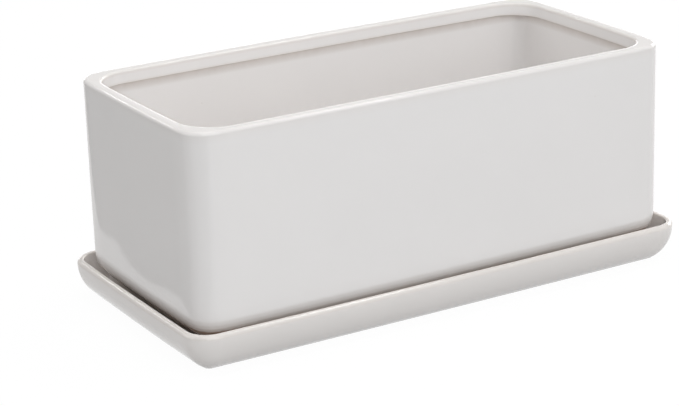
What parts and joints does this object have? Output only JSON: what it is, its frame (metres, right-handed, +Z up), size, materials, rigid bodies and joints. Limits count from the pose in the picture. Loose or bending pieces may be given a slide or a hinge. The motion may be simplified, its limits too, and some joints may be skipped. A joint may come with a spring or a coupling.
{
  "type": "indoor herb planter",
  "caption": "Soft-cornered rectangular glazed ceramic pot with an inner lip and drain holes, standing in its matching shallow drip saucer.",
  "frame": {"origin": "middle of the saucer's foot, on the surface that the planter stands on", "axes": "+X along the planter's length, +Y along its depth towards the back, +Z up"},
  "size_m": [0.2666, 0.1334, 0.108],
  "materials": {
    "saucer_glaze": "gloss",
    "pot_glaze": "gloss"
  },
  "bodies": {
    "saucer": {"drip_saucer": "saucer_glaze"},
    "pot": {"planter_pot": "pot_glaze"}
  },
  "joints": [
    {"name": "pot_lift", "type": "slide", "parent": "saucer", "child": "pot", "axis": [0, 0, 1], "range_m": [0, 0.12]}
  ]
}
